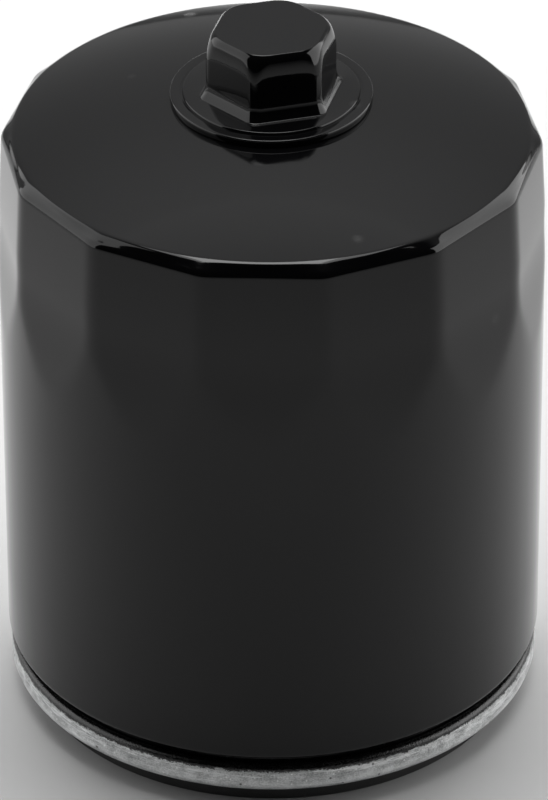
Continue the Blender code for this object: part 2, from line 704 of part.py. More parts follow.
def main():
    clear_scene()
    black_paint = finish("Gloss black paint", (0.006, 0.006, 0.0065), 0.08, 0.0)
    zinc = finish("Galvanised steel", (0.45, 0.46, 0.46), 0.42, 0.9)
    plate_steel = finish("Phosphated plate steel", (0.28, 0.28, 0.27), 0.45, 0.9)
    sheet_steel = finish("Tin-plated sheet steel", (0.55, 0.55, 0.53), 0.35, 0.9)
    spring_steel = finish("Oiled spring steel", (0.32, 0.31, 0.30), 0.3, 0.95)
    nitrile = finish("Black nitrile rubber", (0.012, 0.012, 0.012), 0.55, 0.0)
    silicone = finish("Orange silicone rubber", (0.62, 0.16, 0.05), 0.5, 0.0)
    paper = finish("Resin-treated paper", (0.62, 0.50, 0.28), 0.85, 0.0)
    adhesive = finish("Cured end-cap adhesive", (0.32, 0.07, 0.05), 0.5, 0.0)
    sealant = finish("Seaming compound", (0.18, 0.17, 0.15), 0.6, 0.0)

    make_canister(black_paint)
    make_hex_cap(black_paint)
    make_seam_lid(zinc)
    make_gasket(nitrile)
    make_seam_sealant(sealant)
    make_base_plate(plate_steel)
    make_drainback_valve(silicone)

    tube_bore = TUBE_INNER - GAP - CAP_SHEET
    make_end_cap("lower_end_cap", sheet_steel, ELEMENT_Z, CAP_RIM, tube_bore, CAP_COLLAR)
    make_end_cap("upper_end_cap", sheet_steel, ELEMENT_TOP_Z, -CAP_RIM, BYPASS_PORT_RADIUS, 0.0)
    make_adhesive("lower_end_adhesive", adhesive, INSIDE_Z)
    make_adhesive("upper_end_adhesive", adhesive, INSIDE_TOP_Z - ADHESIVE_THICKNESS)
    make_centre_tube(sheet_steel)
    make_media(paper)
    make_seam_clip(sheet_steel)

    make_bypass_cage(sheet_steel)
    make_bypass_disc("bypass_seal", nitrile, SEAL_RADIUS, INSIDE_TOP_Z - SEAL_THICKNESS, INSIDE_TOP_Z)
    make_bypass_disc("bypass_plate", sheet_steel, VALVE_PLATE_RADIUS, VALVE_PLATE_Z, VALVE_PLATE_TOP_Z)
    make_bypass_stem(plate_steel)
    make_bypass_spring(spring_steel)
    make_hold_down_spring(spring_steel)


main()
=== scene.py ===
import math

import bmesh
import bpy
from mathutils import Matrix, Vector


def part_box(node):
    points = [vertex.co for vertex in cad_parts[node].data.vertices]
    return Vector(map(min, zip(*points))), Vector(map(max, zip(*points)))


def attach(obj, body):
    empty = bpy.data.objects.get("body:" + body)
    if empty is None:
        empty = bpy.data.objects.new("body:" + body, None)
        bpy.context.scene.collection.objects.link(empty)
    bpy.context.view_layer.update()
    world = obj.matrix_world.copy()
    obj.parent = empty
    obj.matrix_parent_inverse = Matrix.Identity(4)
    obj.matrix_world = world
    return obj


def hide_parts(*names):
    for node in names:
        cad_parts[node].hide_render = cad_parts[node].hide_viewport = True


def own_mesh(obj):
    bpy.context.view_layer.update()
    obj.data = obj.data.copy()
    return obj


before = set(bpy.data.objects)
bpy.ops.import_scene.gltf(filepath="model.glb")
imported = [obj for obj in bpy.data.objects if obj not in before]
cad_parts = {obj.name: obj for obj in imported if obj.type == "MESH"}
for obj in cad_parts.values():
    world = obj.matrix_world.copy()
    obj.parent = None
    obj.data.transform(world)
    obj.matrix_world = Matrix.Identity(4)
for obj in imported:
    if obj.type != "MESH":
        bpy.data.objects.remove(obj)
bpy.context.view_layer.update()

MM = 0.001

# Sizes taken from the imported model.
can_low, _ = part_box("canister")
_, cap_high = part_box("hex_cap")
lid_low, lid_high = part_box("seam_lid")
gasket_low, gasket_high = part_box("mounting_gasket")
plate_low, plate_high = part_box("base_plate")
valve_low, valve_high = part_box("anti_drainback_valve")
coil_low, coil_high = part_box("bypass_spring")
hold_low, hold_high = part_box("hold_down_spring")

# Canister.
CAN_RADIUS = 38.1 * MM
CAN_SHEET = 0.45 * MM
CAN_FOOT_ROUND = 1.3 * MM
CAN_NECK_RADIUS = CAN_RADIUS - 1.7 * MM
CAN_LIP_RADIUS = CAN_NECK_RADIUS + 0.4 * MM
CAN_LIP_Z = can_low.z + CAN_SHEET
CAN_FOOT_Z = CAN_LIP_Z + 2.0 * MM
LEAN_Z = 78.0 * MM
SHOULDER_Z = 87.7 * MM
SHOULDER_RADIUS = CAN_RADIUS - 0.5 * MM
SHOULDER_BEND = 1.4 * MM
DOME_BEND = 4.0 * MM
DOME_TOP_Z = 94.87 * MM
DOME_SPHERE_RADIUS = 110.0 * MM
DOME_BEND_RADIUS = CAN_RADIUS - 2.5 * MM
DOME_EDGE_RADIUS = DOME_BEND_RADIUS - 0.6 * MM
CAN_FACETS = 336

# Flats for a cap wrench.
FLAT_COUNT = 14
FLAT_DEPTH = 1.0 * MM
FLAT_FULL_Z = 75.0 * MM
FLAT_FOOT_Z = 59.0 * MM
FLAT_CUSP_ROUND = 5.0 * MM
FLAT_EDGE_ROUND = 0.12 * MM
FLAT_TURN = math.radians(-92.0)

# Hex cap.
HEX_HALF = 8.2 * MM
HEX_CORNER_ROUND = 1.7 * MM
HEX_TOP_ROUND = 4.2 * MM
HEX_TURN = math.radians(-105.2)
HEX_CORNER_DROP = 0.5 * MM
HEX_EDGE_BENDS = [(50, 0.28 * MM), (16, 1.57 * MM), (5, 8.6 * MM), (0, 8.6 * MM)]
CAP_CROWN = 0.04 * MM
CAP_WALL = 1.6 * MM
CAP_TIP_RADIUS = 0.02 * MM
CAP_FOOT_GAP = 0.02 * MM
FLANGE_TOP_Z = cap_high.z - 9.85 * MM
FLANGE_RADIUS = 14.0 * MM
FLANGE_STEP = 0.25 * MM
FLANGE_STEP_RADIUS = 12.2 * MM
SKIRT_Z = FLANGE_TOP_Z + 2.45 * MM
SKIRT_BEND = 3.4 * MM

# Seam lid, gasket and base plate.
SEAM_RADIUS = lid_high.y
SEAM_FOOT_Z = lid_low.z
SEAM_TOP_Z = lid_high.z
SEAM_ROUND = 1.3 * MM
SEAM_TOP_ROUND = 0.8 * MM
SEAM_DRAFT = 0.3 * MM
LID_SHEET = 0.45 * MM
GASKET_OUTER = gasket_high.y
GASKET_INNER = GASKET_OUTER - 3.8 * MM
GASKET_EDGE = 0.35 * MM
GROOVE_GAP = 0.3 * MM
GROOVE_TOP_Z = gasket_high.z + GROOVE_GAP
LID_EDGE_RADIUS = GASKET_INNER - GROOVE_GAP - 2.1 * MM
PAINT_EDGE_Z = 6.75 * MM
BASE_THICKNESS = 3.0 * MM
BASE_TOP_Z = plate_low.z + BASE_THICKNESS
NECK_RADIUS = 11.2 * MM
NECK_MOUTH_RADIUS = 10.6 * MM
THREAD_MINOR = 8.75 * MM
THREAD_MAJOR = 9.5 * MM
THREAD_PITCH = 25.4 / 16 * MM
INLET_COUNT = 8
INLET_RADIUS = 3.5 * MM
INLET_CIRCLE = 19.5 * MM

# Drain-back valve.
VALVE_ARCH = 0.9 * MM
VALVE_FLAP = 1.2 * MM

# Springs.
BYPASS_WIRE = 0.9 * MM
BYPASS_TURNS = 4.5
HOLD_WIRE = 2.0 * MM
HOLD_TURNS = 2.75
HOLD_FOOT_RADIUS = 15.0 * MM
HOLD_NARROWING = 5.5 * MM
END_TURNS_FLATTER = 0.35

# Enamel.
PAINT = (0.0016, 0.0016, 0.0018)
PAINT_NIB = (0.012, 0.012, 0.012)
PAINT_LEVEL = 0.34
PEEL_WAVE = 620.0
PEEL_DEPTH = 0.0011 * MM
NIB_DEPTH = 0.008 * MM

# Studio. ROOM_BACK is the brightness of the room behind the object at a share
# of the way from level to overhead, and ROOM_SEEN is what the camera sees of it.
FLOOR_TONE = 0.36
FLOOR_RADIUS = 4.0
SIDE_DISTANCE = 0.85
ROOM_BACK = [(0.0, 0.35), (0.25, 0.31), (0.55, 0.42), (0.82, 0.9), (0.93, 1.5), (0.99, 4.0)]
ROOM_SEEN = 1.0

# Camera.
CAMERA_LENS = 304.1
CAMERA_SENSOR = 36.0
CAMERA_PLACE = (0.226 * MM, -804.83 * MM, 560.53 * MM)
CAMERA_TARGET = (0.226 * MM, 0, 44.49 * MM)
CAMERA_ROLL = math.radians(-0.182)


# Work on meshes


def only(piece):
    bpy.ops.object.select_all(action="DESELECT")
    piece.select_set(True)
    bpy.context.view_layer.objects.active = piece


def drawn(name, points):
    """A line through (radius, height) points over the X axis, drawn by extruding one vertex."""
    bpy.ops.object.select_all(action="DESELECT")
    start = Vector((points[0][0], 0, points[0][1]))
    bpy.ops.mesh.primitive_plane_add(size=MM, location=start)
    piece = bpy.context.object
    piece.name = name
    piece.data.name = name
    bpy.ops.object.transform_apply(location=True)
    bpy.ops.object.mode_set(mode="EDIT")
    bpy.ops.mesh.select_all(action="SELECT")
    bpy.ops.mesh.merge(type="CENTER")
    for before, after in zip(points, points[1:]):
        step = (after[0] - before[0], 0, after[1] - before[1])
        bpy.ops.mesh.extrude_vertices_move(TRANSFORM_OT_translate={"value": step})
    bpy.ops.object.mode_set(mode="OBJECT")
    return piece


def clean(piece):
    """Merges what meets, and turns the faces outwards."""
    only(piece)
    bpy.ops.object.mode_set(mode="EDIT")
    bpy.ops.mesh.select_all(action="SELECT")
    bpy.ops.mesh.remove_doubles(threshold=0.002 * MM)
    bpy.ops.mesh.normals_make_consistent(inside=False)
    bpy.ops.object.mode_set(mode="OBJECT")


def turned(name, outline, facets, turn=0.0):
    """The outline spun round the Z axis."""
    piece = drawn(name, outline)
    bpy.ops.object.mode_set(mode="EDIT")
    bpy.ops.mesh.select_all(action="SELECT")
    bpy.ops.mesh.spin(steps=facets, angle=2 * math.pi, center=(0, 0, 0), axis=(0, 0, 1))
    bpy.ops.object.mode_set(mode="OBJECT")
    clean(piece)
    piece.rotation_euler.z = turn
    bpy.ops.object.transform_apply(rotation=True)
    return piece


def thickened(piece, thickness):
    """Gives a sheet its wall, on the inside of its faces."""
    only(piece)
    wall = piece.modifiers.new("Wall", "SOLIDIFY")
    wall.thickness = thickness
    wall.offset = -1
    bpy.ops.object.modifier_apply(modifier=wall.name)
    return piece


def shaded(piece, degrees=35.0):
    only(piece)
    bpy.ops.object.shade_smooth_by_angle(angle=math.radians(degrees))
    return piece


def direction(start, end):
    length = math.dist(start, end)
    return (end[0] - start[0]) / length, (end[1] - start[1]) / length


def rounded(path, radii, steps=6):
    """The path with an arc of the given radius at each inner corner; a radius of 0 leaves it sharp."""
    points = [path[0]]
    for before, corner, after, radius in zip(path, path[1:], path[2:], radii):
        if radius == 0:
            points.append(corner)
            continue
        back = direction(corner, before)
        ahead = direction(corner, after)
        cosine = back[0] * ahead[0] + back[1] * ahead[1]
        half = math.acos(max(-1.0, min(1.0, cosine))) / 2
        reach = radius / math.tan(half)
        middle = (back[0] + ahead[0], back[1] + ahead[1])
        scale = radius / math.sin(half) / math.hypot(*middle)
        centre = (corner[0] + middle[0] * scale, corner[1] + middle[1] * scale)
        first = (corner[0] + back[0] * reach, corner[1] + back[1] * reach)
        last = (corner[0] + ahead[0] * reach, corner[1] + ahead[1] * reach)
        start = math.atan2(first[1] - centre[1], first[0] - centre[0])
        sweep = math.atan2(last[1] - centre[1], last[0] - centre[0]) - start
        sweep = (sweep + math.pi) % (2 * math.pi) - math.pi
        for step in range(steps + 1):
            angle = start + sweep * step / steps
            out, up = radius * math.cos(angle), radius * math.sin(angle)
            points.append((centre[0] + out, centre[1] + up))
    points.append(path[-1])
    return points


def evenly(start, end, count):
    """Points spaced evenly from start to end, without the start."""
    shares = [step / count for step in range(1, count + 1)]
    return [tuple(low + (high - low) * share for low, high in zip(start, end)) for share in shares]


def smooth_step(value, low, high):
    """0 below low, 1 above high, and an S curve between."""
    share = min(1.0, max(0.0, (value - low) / (high - low)))
    return share * share * (3 - 2 * share)


def polygon_radius(sides, half, corner_round, turn):
    """Distance to a polygon with rounded corners, from its middle, at an angle from a corner."""
    pitch = 2 * math.pi / sides
    turn = abs((turn + pitch / 2) % pitch - pitch / 2)
    flat = half / math.cos(pitch / 2 - turn)
    centre = (half - corner_round) / math.cos(pitch / 2)
    arc_rise = corner_round * math.sin(pitch / 2)
    arc_reach = centre + corner_round * math.cos(pitch / 2)
    if turn > math.atan2(arc_rise, arc_reach):
        return flat
    return centre * math.cos(turn) + math.sqrt(corner_round**2 - (centre * math.sin(turn)) ** 2)


# Canister


def dome_height(radius):
    """Height of the dome at this distance from the axis."""
    return DOME_TOP_Z - DOME_SPHERE_RADIUS + math.sqrt(DOME_SPHERE_RADIUS**2 - radius**2)


def press_flats(piece):
    """Moves the wall inwards onto the flats, which fade out at their foot and at the dome's edge."""
    half_pitch = math.pi / FLAT_COUNT
    fade_top = FLAT_FOOT_Z + 0.3 * (FLAT_FULL_Z - FLAT_FOOT_Z)
    for vert in piece.data.vertices:
        radius = math.hypot(vert.co.x, vert.co.y)
        if radius <= DOME_EDGE_RADIUS or vert.co.z < FLAT_FOOT_Z:
            continue
        turn = math.atan2(vert.co.y, vert.co.x) - FLAT_TURN + half_pitch
        depth = FLAT_DEPTH * smooth_step(vert.co.z, FLAT_FOOT_Z, FLAT_FULL_Z)
        flat = polygon_radius(FLAT_COUNT, CAN_RADIUS - depth, FLAT_CUSP_ROUND, turn)
        excess = CAN_RADIUS - flat
        softened = (excess + math.hypot(excess, FLAT_EDGE_ROUND)) / 2
        fade = smooth_step(vert.co.z, FLAT_FOOT_Z, fade_top)
        share = smooth_step(radius, DOME_BEND_RADIUS - 0.1 * MM, SHOULDER_RADIUS)
        press = softened * fade * share
        vert.co.x *= 1 - press / radius
        vert.co.y *= 1 - press / radius


def shoulder_outline():
    """The wall's slight lean, the shoulder's cone and the bend into the dome."""
    path = [
        (CAN_RADIUS, LEAN_Z),
        (SHOULDER_RADIUS, SHOULDER_Z),
        (DOME_BEND_RADIUS, dome_height(DOME_BEND_RADIUS)),
        (DOME_EDGE_RADIUS, dome_height(DOME_EDGE_RADIUS)),
    ]
    bend_steps = 12
    points = rounded(path, [SHOULDER_BEND, DOME_BEND], bend_steps)
    cone_from = bend_steps + 2
    cone = evenly(points[cone_from - 1], points[cone_from], 6)
    return points[:cone_from] + cone[:-1] + points[cone_from:]


def make_canister():
    """The can, from the lip crimped inside the lid, up the wall and over the dome."""
    lip = [
        (CAN_LIP_RADIUS, CAN_LIP_Z),
        (CAN_NECK_RADIUS, CAN_LIP_Z),
        (CAN_NECK_RADIUS, CAN_FOOT_Z),
        (CAN_RADIUS, CAN_FOOT_Z),
        (CAN_RADIUS, FLAT_FOOT_Z),
    ]
    wall = rounded(lip, [0.0, 0.0, CAN_FOOT_ROUND], 8)
    wall.pop()
    wall += evenly((CAN_RADIUS, CAN_FOOT_Z), (CAN_RADIUS, FLAT_FOOT_Z), 4)
    wall += evenly((CAN_RADIUS, FLAT_FOOT_Z), (CAN_RADIUS, FLAT_FULL_Z), 14)
    wall += shoulder_outline()
    steps = 24
    for step in range(1, steps + 1):
        radius = DOME_EDGE_RADIUS * (1 - step / steps)
        wall.append((radius, dome_height(radius)))
    piece = turned("canister_shell", wall, CAN_FACETS, FLAT_TURN + math.pi / FLAT_COUNT)
    press_flats(piece)
    thickened(piece, CAN_SHEET)
    return shaded(piece, 50.0)


# Hex cap


def hexagon(half, height, corner_drop=0.0, corner_round=HEX_CORNER_ROUND):
    """Section of a hexagon; a corner drop lowers it towards the corners."""

    def section(turn):
        drop = corner_drop * math.cos(3 * turn) ** 6
        return polygon_radius(6, half, corner_round, turn), height - drop

    return section


def circle(radius, height):
    """Section of a round part of the cap."""
    return lambda turn: (radius, height)


def hex_turns():
    """Angles from the first corner, closest together where the corners are rounded."""
    offsets = [-30, -25, -20, -15, -11, -8, -6, -5, -4, -3.2, -2.4, -1.6, -0.8]
    offsets += [0.0] + [-offset for offset in reversed(offsets[1:])]
    return [math.radians(60 * corner + offset) for corner in range(6) for offset in offsets]


def lofted(name, sections, turns, spin):
    """Rings extruded from a circle, each shaped by its section, and capped at both ends."""
    bpy.ops.object.select_all(action="DESELECT")
    bpy.ops.mesh.primitive_circle_add(vertices=len(turns), radius=HEX_HALF)
    piece = bpy.context.object
    piece.name = name
    piece.data.name = name
    first = turns[0] - 0.002
    bpy.ops.object.mode_set(mode="EDIT")
    bpy.ops.mesh.select_all(action="SELECT")
    for index, section in enumerate(sections):
        if index > 0:
            bpy.ops.mesh.extrude_region_move(TRANSFORM_OT_translate={"value": (0, 0, -MM)})
        edited = bmesh.from_edit_mesh(piece.data)
        ring = [vert for vert in edited.verts if vert.select]
        ring.sort(key=lambda vert: (math.atan2(vert.co.y, vert.co.x) - first) % (2 * math.pi))
        for vert, turn in zip(ring, turns):
            radius, height = section(turn)
            vert.co = (radius * math.cos(turn), radius * math.sin(turn), height)
        bmesh.update_edit_mesh(piece.data)
    bpy.ops.mesh.select_all(action="SELECT")
    bpy.ops.mesh.region_to_loop()
    bpy.ops.mesh.fill_holes(sides=0)
    bpy.ops.object.mode_set(mode="OBJECT")
    clean(piece)
    piece.rotation_euler.z = spin
    bpy.ops.object.transform_apply(rotation=True)
    return piece


def shoulder_curve(bends, steps):
    """(inward, down) points of an edge that turns from level, at the top, to upright.

    A bend is (angle in degrees, radius): the curve keeps that radius until it has that angle
    left to turn."""
    points = [(0.0, 0.0)]
    angle = math.radians(90.0)
    for left, radius in bends:
        end = math.radians(left)
        for step in range(steps):
            turn = (angle - end) / steps
            along = angle - turn * (step + 0.5)
            out, down = points[-1]
            chord = radius * turn
            points.append((out + chord * math.sin(along), down + chord * math.cos(along)))
        angle = end
    width = points[-1][0]
    return [(width - out, down) for out, down in points]


def make_hex_cap():
    """The welded cap: a hexagon with rounded corners, its flared skirt and a stepped flange."""
    top = cap_high.z - CAP_CROWN
    sections = [circle(CAP_TIP_RADIUS, top + CAP_CROWN)]
    edge = shoulder_curve(HEX_EDGE_BENDS, 6)
    top_half = HEX_HALF - edge[0][0]
    for share in (0.25, 0.5, 0.75, 0.92):
        crown = CAP_CROWN * (1 - share**2)
        sections.append(hexagon(top_half * share, top + crown, 0.0, HEX_TOP_ROUND * share))
    full_drop = edge[-1][1]
    for inward, down in edge:
        share = down / full_drop
        corner_round = HEX_TOP_ROUND + (HEX_CORNER_ROUND - HEX_TOP_ROUND) * share
        drop = HEX_CORNER_DROP * share
        sections.append(hexagon(HEX_HALF - inward, top - down, drop, corner_round))
    steps = 10
    step_top = FLANGE_TOP_Z + FLANGE_STEP
    lowest = step_top + 0.12 * MM
    sweep = math.asin((SKIRT_Z - lowest) / SKIRT_BEND)
    for step in range(steps + 1):
        angle = sweep * step / steps
        out = SKIRT_BEND * (1 - math.cos(angle))
        sections.append(hexagon(HEX_HALF + out, SKIRT_Z - SKIRT_BEND * math.sin(angle)))
    skirt = HEX_HALF + SKIRT_BEND * (1 - math.cos(sweep))
    sections.append(hexagon(skirt + 0.06 * MM, step_top + 0.04 * MM))
    sections.append(hexagon(skirt + 0.2 * MM, step_top))
    groove = FLANGE_TOP_Z - 0.1 * MM
    for radius, height in [
        (FLANGE_STEP_RADIUS - 0.16 * MM, step_top),
        (FLANGE_STEP_RADIUS - 0.04 * MM, step_top - 0.05 * MM),
        (FLANGE_STEP_RADIUS, step_top - 0.14 * MM),
        (FLANGE_STEP_RADIUS + 0.06 * MM, groove),
        (FLANGE_STEP_RADIUS + 0.28 * MM, groove),
        (FLANGE_STEP_RADIUS + 0.4 * MM, FLANGE_TOP_Z - 0.02 * MM),
        (FLANGE_STEP_RADIUS + 0.55 * MM, FLANGE_TOP_Z),
        (FLANGE_RADIUS - 0.25 * MM, FLANGE_TOP_Z),
        (FLANGE_RADIUS - 0.12 * MM, FLANGE_TOP_Z - 0.03 * MM),
        (FLANGE_RADIUS - 0.03 * MM, FLANGE_TOP_Z - 0.12 * MM),
        (FLANGE_RADIUS, FLANGE_TOP_Z - 0.25 * MM),
    ]:
        sections.append(circle(radius, height))
    rim_foot = dome_height(FLANGE_RADIUS)
    sections.append(circle(FLANGE_RADIUS, rim_foot + 0.2 * MM))
    sections.append(circle(FLANGE_RADIUS - 0.15 * MM, rim_foot + CAP_FOOT_GAP))
    step_foot = dome_height(FLANGE_STEP_RADIUS) + CAP_FOOT_GAP
    sections.append(circle(FLANGE_STEP_RADIUS, step_foot))
    inner = HEX_HALF - CAP_WALL
    inner_foot = dome_height(inner) + CAP_FOOT_GAP
    sections.append(circle(inner + 1.2 * MM, inner_foot))
    sections.append(hexagon(inner, inner_foot))
    sections.append(hexagon(inner, top - 2 * CAP_WALL))
    sections.append(hexagon(inner - CAP_WALL, top - CAP_WALL))
    sections.append(circle(CAP_TIP_RADIUS, top - CAP_WALL))
    piece = lofted("hex_cap_shell", sections, hex_turns(), HEX_TURN)
    return shaded(piece, 60.0)


# Mouth end


def make_seam_lid():
    """The lid: a groove round the gasket, and the seam's rim."""
    path = [
        (LID_EDGE_RADIUS, SEAM_FOOT_Z),
        (GASKET_INNER - GROOVE_GAP, SEAM_FOOT_Z),
        (GASKET_INNER - GROOVE_GAP, GROOVE_TOP_Z),
        (GASKET_OUTER + GROOVE_GAP, GROOVE_TOP_Z),
        (GASKET_OUTER + GROOVE_GAP, SEAM_FOOT_Z),
        (SEAM_RADIUS, SEAM_FOOT_Z),
        (SEAM_RADIUS - SEAM_DRAFT, SEAM_TOP_Z),
        (CAN_NECK_RADIUS + 0.25 * MM, SEAM_TOP_Z),
    ]
    bend = 0.35 * MM
    outline = rounded(path, [bend, bend, bend, bend, SEAM_ROUND, SEAM_TOP_ROUND], 6)
    piece = turned("seam_lid_shell", outline, 192)
    thickened(piece, LID_SHEET)
    return shaded(piece)


def make_gasket():
    middle = (GASKET_OUTER + GASKET_INNER) / 2
    path = [
        (middle, gasket_high.z),
        (GASKET_OUTER, gasket_high.z),
        (GASKET_OUTER, gasket_low.z),
        (GASKET_INNER, gasket_low.z),
        (GASKET_INNER, gasket_high.z),
        (middle, gasket_high.z),
    ]
    return shaded(turned("gasket_ring", rounded(path, [GASKET_EDGE] * 4, 5), 192))


def threaded_bore(bottom, top):
    """One pitch of the thread, wound up past both ends and cut to length."""
    start = bottom - 2 * THREAD_PITCH
    crest = THREAD_PITCH / 8
    rise = THREAD_PITCH * 0.32
    root = THREAD_PITCH - 2 * crest - 2 * rise
    profile = [
        (THREAD_MINOR, start),
        (THREAD_MINOR, start + crest),
        (THREAD_MAJOR - 0.04 * MM, start + crest + rise),
        (THREAD_MAJOR, start + crest + rise + root / 2),
        (THREAD_MAJOR - 0.04 * MM, start + crest + rise + root),
        (THREAD_MINOR, start + THREAD_PITCH - crest),
        (THREAD_MINOR, start + THREAD_PITCH),
    ]
    bore = drawn("threaded_bore", profile)
    winding = bore.modifiers.new("Winding", "SCREW")
    winding.screw_offset = THREAD_PITCH
    winding.iterations = math.ceil((top - start) / THREAD_PITCH) + 2
    winding.steps = 96
    winding.render_steps = 96
    bpy.ops.object.modifier_apply(modifier=winding.name)
    clean(bore)
    bpy.ops.object.mode_set(mode="EDIT")
    for height, side in ((top, 1), (bottom, -1)):
        bpy.ops.mesh.select_all(action="SELECT")
        plane = {"plane_co": (0, 0, height), "plane_no": (0, 0, side)}
        bpy.ops.mesh.bisect(**plane, clear_outer=True, threshold=1e-7)
    bpy.ops.object.mode_set(mode="OBJECT")
    return bore


def bridge_at(piece, low, high, reach):
    """Bridges the two open edges between these heights, out to this radius."""
    bpy.ops.object.mode_set(mode="EDIT")
    bpy.ops.mesh.select_mode(type="EDGE")
    bpy.ops.mesh.select_all(action="DESELECT")
    edited = bmesh.from_edit_mesh(piece.data)
    for edge in edited.edges:
        middle = (edge.verts[0].co + edge.verts[1].co) / 2
        near = low < middle.z < high and math.hypot(middle.x, middle.y) < reach
        edge.select = edge.is_boundary and near
    edited.select_flush_mode()
    bmesh.update_edit_mesh(piece.data)
    bpy.ops.mesh.bridge_edge_loops()
    bpy.ops.mesh.select_mode(type="VERT")
    bpy.ops.object.mode_set(mode="OBJECT")


def cut_inlets(plate):
    """Drills the ring of oil inlets, each with a small chamfer at both faces."""
    chamfer = 0.3 * MM
    low = plate_low.z
    outline = [
        (0.0, low - MM),
        (INLET_RADIUS + chamfer + MM, low - MM),
        (INLET_RADIUS, low + chamfer),
        (INLET_RADIUS, BASE_TOP_Z - chamfer),
        (INLET_RADIUS + chamfer + MM, BASE_TOP_Z + MM),
        (0.0, BASE_TOP_Z + MM),
    ]
    drill = turned("inlet_drill", outline, 48)
    drill.location.x = INLET_CIRCLE
    bpy.ops.object.transform_apply(location=True)
    copies = []
    for index in range(INLET_COUNT):
        only(drill)
        bpy.ops.object.duplicate()
        copy = bpy.context.object
        copy.rotation_euler.z = 2 * math.pi * (index + 0.5) / INLET_COUNT
        bpy.ops.object.transform_apply(rotation=True)
        copies.append(copy)
    only(drill)
    bpy.ops.object.delete()
    only(copies[0])
    for copy in copies:
        copy.select_set(True)
    bpy.ops.object.join()
    cut = plate.modifiers.new("Inlets", "BOOLEAN")
    cut.operation = "DIFFERENCE"
    cut.solver = "EXACT"
    cut.object = copies[0]
    only(plate)
    bpy.ops.object.modifier_apply(modifier=cut.name)
    only(copies[0])
    bpy.ops.object.delete()


def make_base_plate():
    """The thick plate with its neck, its thread and the oil inlets."""
    rim = plate_high.y
    path = [
        (NECK_MOUTH_RADIUS, plate_low.z),
        (rim, plate_low.z),
        (rim, BASE_TOP_Z),
        (NECK_RADIUS, BASE_TOP_Z),
        (NECK_RADIUS, plate_high.z),
        (THREAD_MAJOR + 0.5 * MM, plate_high.z),
    ]
    outline = rounded(path, [0.3 * MM, 0.3 * MM, 0.6 * MM, 0.4 * MM])
    plate = turned("base_plate_shell", outline, 96)
    mouth = NECK_MOUTH_RADIUS - THREAD_MINOR
    bore = threaded_bore(plate_low.z + mouth, plate_high.z)
    only(plate)
    bore.select_set(True)
    bpy.ops.object.join()
    slack = 0.01 * MM
    bridge_at(plate, plate_high.z - slack, plate_high.z + slack, NECK_RADIUS)
    bridge_at(plate, plate_low.z - slack, plate_low.z + mouth + slack, NECK_RADIUS)
    clean(plate)
    cut_inlets(plate)
    return shaded(plate, 25.0)


def make_drainback_valve():
    """A rubber umbrella: a collar round the neck, an arch over the inlets and a lip that seals."""
    bore = NECK_RADIUS + 0.3 * MM
    collar = bore + 2.7 * MM
    inner = INLET_CIRCLE - INLET_RADIUS
    lip = INLET_CIRCLE + INLET_RADIUS + 3.8 * MM
    under = valve_low.z + VALVE_ARCH
    middle = (valve_low.z + valve_high.z) / 2
    path = [
        (bore, middle),
        (bore, valve_low.z),
        (inner - VALVE_ARCH, valve_low.z),
        (inner, under),
        (lip - 2.5 * MM, under),
        (lip - 1.6 * MM, valve_low.z),
        (lip, valve_low.z),
        (lip, valve_low.z + 0.7 * MM),
        (lip - 2.5 * MM, under + VALVE_FLAP),
        (collar, under + VALVE_FLAP),
        (collar, valve_high.z),
        (bore, valve_high.z),
        (bore, middle),
    ]
    radii = [bend * MM for bend in (0.2, 0.4, 0.4, 0.8, 0.3, 0.2, 0.25, 1.5, 1.0, 0.4, 0.3)]
    return shaded(turned("drainback_umbrella", rounded(path, radii, 4), 144))


# Springs


def coiled(name, route, wire, turns, points_a_turn=48):
    """A round wire along a coil. The route gives (radius, height) at a share of the way up."""
    bpy.ops.object.select_all(action="DESELECT")
    line = bpy.data.curves.new(name, "CURVE")
    line.dimensions = "3D"
    line.bevel_depth = wire / 2
    line.bevel_resolution = 5
    line.use_fill_caps = True
    spline = line.splines.new("POLY")
    count = round(turns * points_a_turn) + 1
    spline.points.add(count - 1)
    for index, point in enumerate(spline.points):
        share = index / (count - 1)
        radius, height = route(share)
        angle = 2 * math.pi * turns * share
        point.co = (radius * math.cos(angle), radius * math.sin(angle), height, 1.0)
    piece = bpy.data.objects.new(name, line)
    bpy.context.scene.collection.objects.link(piece)
    only(piece)
    bpy.ops.object.convert(target="MESH")
    clean(piece)
    return shaded(piece, 60.0)


def coil_rise(share):
    """Share of a coil's height at a share of its turns, with flatter turns at both ends."""
    return share - END_TURNS_FLATTER * math.sin(2 * math.pi * share) / (2 * math.pi)


def make_bypass_spring():
    radius = coil_high.x - BYPASS_WIRE / 2
    low = coil_low.z + BYPASS_WIRE / 2
    rise = coil_high.z - coil_low.z - BYPASS_WIRE

    def route(share):
        return radius, low + rise * coil_rise(share)

    return coiled("bypass_coil", route, BYPASS_WIRE, BYPASS_TURNS)


def make_hold_down_spring():
    low = hold_low.z + HOLD_WIRE / 2
    rise = hold_high.z - hold_low.z - HOLD_WIRE

    def route(share):
        return HOLD_FOOT_RADIUS - HOLD_NARROWING * share, low + rise * coil_rise(share)

    return coiled("hold_down_coil", route, HOLD_WIRE, HOLD_TURNS)


# Effects that several finishes use


def new_group(name, inputs, outputs):
    tree = bpy.data.node_groups.new(name, "ShaderNodeTree")
    for label, kind, value in inputs:
        socket = tree.interface.new_socket(label, in_out="INPUT", socket_type=kind)
        if value is not None:
            socket.default_value = value
    for label, kind in outputs:
        tree.interface.new_socket(label, in_out="OUTPUT", socket_type=kind)
    return tree, tree.nodes.new("NodeGroupInput"), tree.nodes.new("NodeGroupOutput")


